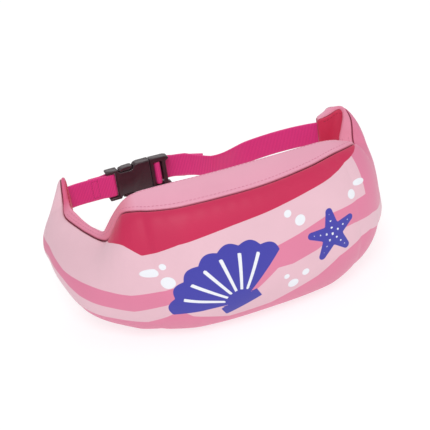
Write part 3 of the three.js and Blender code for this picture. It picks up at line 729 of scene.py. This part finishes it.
# the free tail: distances along it and behind the strap
free = np.array(((15, 0.3), (18, hem_thick / 2), (tail_length, hem_thick / 2 + web_gap)))
long_path, long_run = evenly(
    [start - tucked * ahead],
    bezier(start, start + (-bow_run, bow_back), bend + (bow_run / 2, 0), bend),
    bezier(bend, bend + (-bow_run / 2, 0.6 * bow_in), (end_x + 6, behind), (end_x, behind)),
    arc(plug_x + bar_turn + corner, behind - corner, corner, 90, 180),
    arc(plug_x, buckle_y, bar_turn, 0, -180),
    arc(plug_x - bar_turn + corner, tail - corner, corner, 180, 90),
    [(end_x, tail)],
    np.stack((end_x + free[:, 0], tail + free[:, 1] - bow_in / bow_run * free[:, 0]), 1))
to_plug = long_run[-1] - tail_length - plug_end
hang = np.where(long_run < to_plug, np.sin(np.pi * np.clip(long_run / to_plug, 0, 1) ** 3),
                np.clip(long_run - long_run[-1] + tail_length, 0, None) / tail_length)
hemmed = np.clip((long_run - long_run[-1] + hem_length + 1) / 2, 0, 1)
lean = top_lean * np.sin(np.pi * np.clip((long_run - to_plug + lean_from) / lean_run, 0, 1)) ** 2
long_middle = buckle_z - sag * hang
long_thick = web_thick + (hem_thick - web_thick) * hemmed
long_mesh = webbing("long_strap", long_path, long_run, long_thick, long_middle, lean)


def web_colours_and_painted_light(tree):
    """Deep pink, with painted shade in the grooves between the ribs and a painted highlight a little lighter
    along the edges.
    """
    # painted shade in the grooves between the ribs
    rib = add(tree, "Attribute", attribute_name="rib").outputs["Fac"]
    groove = add(tree, "MapRange", {"Value": rib, "From Min": -1.0, "From Max": 0.6, "To Min": 1.0,
                                    "To Max": 0.0}).outputs["Result"]
    # painted highlight along both edges of the strap
    edge = add(tree, "Attribute", attribute_name="edge").outputs["Fac"]
    edge = add(tree, "MapRange", {"Value": edge, "From Min": 0.9, "From Max": 1.0, "To Min": 0.0,
                                  "To Max": 0.5}).outputs["Result"]
    colour = add(tree, "Mix", {mix_share: groove, mix_lower: linear("#EA3C92"),
                               mix_upper: linear("#CC2A7C")}, data_type="RGBA").outputs[mixed]
    return add(tree, "Mix", {mix_share: edge, mix_lower: colour, mix_upper: linear("#F0689E")},
               data_type="RGBA").outputs[mixed]


web_material = textile("Ribbed polypropylene webbing", web_colours_and_painted_light, knitted=False)
for name, mesh, node in (("short_strap", short_mesh, "strap_short"), ("long_strap", long_mesh, "strap_long")):
    mesh.materials.append(web_material)
    strap = add_piece(name, mesh)
    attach(strap, "root")
    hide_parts(node)

# boxes of stitches: on both faces of the short strap's fold, and on the long strap's hem
box_pitch, box_tall, box_over, box_near, box_far, hem_inset = 2.6, 8.0, 1.2, 2.5, 9.0, 3
box_stitch, box_thread = 2.1, 0.6


def sewn_box(path, run, middle, half, side, start, stop):
    """Middles, directions and ups of the stitches of a box sewn on one face of a strap, between two
    distances along it; half is half its thickness there, and side is 1 on its left face and -1 on its
    right one."""
    up_at = np.arange(-box_tall, box_tall + 0.1, box_pitch)
    along_at = np.arange(start + box_pitch / 2, stop, box_pitch)
    at = np.concatenate((0 * up_at + start, 0 * up_at + stop, along_at, along_at))
    over = 0 * along_at + box_tall + box_over
    rise = np.concatenate((up_at, up_at, over, -over))
    upright = (np.arange(len(at)) < 2 * len(up_at))[:, None]
    along = unit(spaced(np.gradient(path, axis=0), run, at))
    out = side * np.stack((-along[:, 1], along[:, 0]), 1)
    flat = spaced(path, run, at) + middle_foot + half * out
    height = np.interp(at, run, middle) + rise
    level = np.zeros((len(at), 1))
    direction = np.where(upright, (0.0, 0.0, 1.0), np.concatenate((along, level), 1))
    return np.concatenate((flat, height[:, None]), 1), direction, np.concatenate((out, level), 1)


half_way = len(short_path) // 2
fold_front = np.interp(socket_x - fold_back, short_path[:half_way, 0], short_run[:half_way])
short_end, long_end = short_run[-1], long_run[-1]
short_face = (short_path, short_run, short_middle, web_thick / 2, -1)
boxes = (
    sewn_box(*short_face, short_end - box_far, short_end - box_near),
    sewn_box(*short_face, fold_front + box_near, fold_front + box_far),
    sewn_box(long_path, long_run, long_middle, hem_thick / 2, 1, long_end - hem_length + hem_inset,
             long_end - hem_inset))
stitches("strap_stitches", boxes, box_stitch, box_thread, "#B3246C")

# Buckle
# Side-release buckle moulded in acetal, in two pieces: the socket with its web bar, and the plug with
# two sprung prongs that show in the socket's open sides. All edges have a small moulded radius.
# in metres, as the meshes of the solids are
edge_radius, flow_size, grain_size = 0.0006, 0.006, 0.0006


def moulded(name, node):
    """A copy of a solid with its points merged, its flat faces joined and its edges rounded."""
    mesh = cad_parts[node].data.copy()
    mesh.name = name
    work = bmesh.new()
    work.from_mesh(mesh)
    bmesh.ops.remove_doubles(work, verts=work.verts, dist=1e-6)
    bmesh.ops.dissolve_limit(work, angle_limit=0.02, verts=work.verts, edges=work.edges)
    work.to_mesh(mesh)
    work.free()
    mesh.shade_smooth()
    piece = add_piece(name, mesh)
    round_off = piece.modifiers.new("Moulded edges", "BEVEL")
    round_off.width, round_off.segments = edge_radius, 3
    round_off.limit_method, round_off.angle_limit = "ANGLE", np.radians(30)
    round_off.harden_normals = True
    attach(piece, "root")
    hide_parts(node)
    return piece


# satin moulded plastic: faint flow marks in its tone and gloss, and a fine grain
acetal = bpy.data.materials.new("Moulded acetal")
acetal.use_nodes = True
tree = acetal.node_tree
shader = tree.nodes["Principled BSDF"]
spot = add(tree, "TexCoord").outputs["Object"]
cloud = add(tree, "TexNoise", {"Vector": spot, "Scale": 1 / flow_size, "Detail": 4.0}).outputs["Fac"]
tone = add(tree, "Mix", {mix_share: cloud, mix_lower: linear("#2E1B21"), mix_upper: linear("#402B34")},
           data_type="RGBA").outputs[mixed]
gloss = add(tree, "MapRange", {"Value": cloud, "To Min": 0.28, "To Max": 0.4}).outputs["Result"]
grain = add(tree, "TexNoise", {"Vector": spot, "Scale": 1 / grain_size, "Detail": 2.0}).outputs["Fac"]
bump = add(tree, "Bump", {"Height": grain, "Strength": 0.08, "Distance": 0.0002})
tree.links.new(tone, shader.inputs["Base Color"])
tree.links.new(gloss, shader.inputs["Roughness"])
tree.links.new(bump.outputs["Normal"], shader.inputs["Normal"])
shader.inputs["IOR"].default_value = 1.48
for name, node in (("socket_body", "buckle_socket"), ("plug_body", "buckle_plug")):
    piece = moulded(name, node)
    piece.data.materials.clear()
    piece.data.materials.append(acetal)

# Studio
# A plain pale floor of paper that glows a little, large soft lights and the photograph's own viewing
# angle.
floor_mesh = bpy.data.meshes.new("floor")
floor_mesh.from_pydata([(x, y, 0) for x, y in ((-4, -4), (4, -4), (4, 4), (-4, 4))], [], [(0, 1, 2, 3)])
floor = add_piece("floor", floor_mesh)
paper = bpy.data.materials.new("White paper")
paper.use_nodes = True
shader = paper.node_tree.nodes["Principled BSDF"]
shader.inputs["Base Color"].default_value = linear("#A6A6A6")
shader.inputs["Roughness"].default_value = 0.9
shader.inputs["Emission Color"].default_value = linear("#FFFFFF")
shader.inputs["Emission Strength"].default_value = 0.68
floor_mesh.materials.append(paper)

world = bpy.data.worlds.new("Studio")
world.use_nodes = True
backdrop = world.node_tree.nodes["Background"]
backdrop.inputs["Color"].default_value = linear("#FFFFFF")
backdrop.inputs["Strength"].default_value = 0.52
bpy.context.scene.world = world


def turned(right, back):
    """Matrix of a lamp or camera whose own x and z axes are these."""
    return Matrix(np.stack((right, np.cross(back, right), back), 1).tolist()).to_4x4()


def soft_light(name, spot, size, power):
    """A square area light at a spot, in metres, turned to the middle of the belt."""
    data = bpy.data.lights.new(name, "AREA")
    data.size, data.energy = size, power
    lamp = bpy.data.objects.new(name, data)
    back = unit(np.array(spot, float) - np.array((0, 0, 0.06)))
    lamp.matrix_world = Matrix.Translation(spot) @ turned(unit(np.cross((0, 0, 1), back)), back)
    bpy.context.collection.objects.link(lamp)


soft_light("key", (-0.4, -1.0, 1.35), 0.7, 12)
soft_light("fill", (1.1, -0.5, 0.8), 0.9, 2)
soft_light("rear", (0.2, 1.2, 1.0), 0.9, 4)

elevation, yaw, roll = np.radians(30), np.radians(18), np.radians(7.5)
distance, focal_px, picture_px = 1000, 1040, 430
aim_height, aim_right, aim_up = 66, -24.0, 15.4
forward = np.array((np.sin(yaw) * np.cos(elevation), np.cos(yaw) * np.cos(elevation), -np.sin(elevation)))
level = np.array((np.cos(yaw), -np.sin(yaw), 0))
upright = np.cross(level, forward)
right = np.cos(roll) * level - np.sin(roll) * upright
upward = np.sin(roll) * level + np.cos(roll) * upright
eye = np.array((*middle_foot, aim_height)) - distance * forward
back = -unit(distance * forward + aim_right * right + aim_up * upward)
camera = bpy.data.objects.new("camera", bpy.data.cameras.new("camera"))
camera.data.lens = focal_px / picture_px * camera.data.sensor_width
camera.matrix_world = Matrix.Translation((eye / 1000).tolist()) @ turned(unit(np.cross(upward, back)), back)
bpy.context.collection.objects.link(camera)
bpy.context.scene.camera = camera
bpy.context.scene.view_settings.view_transform = "Standard"
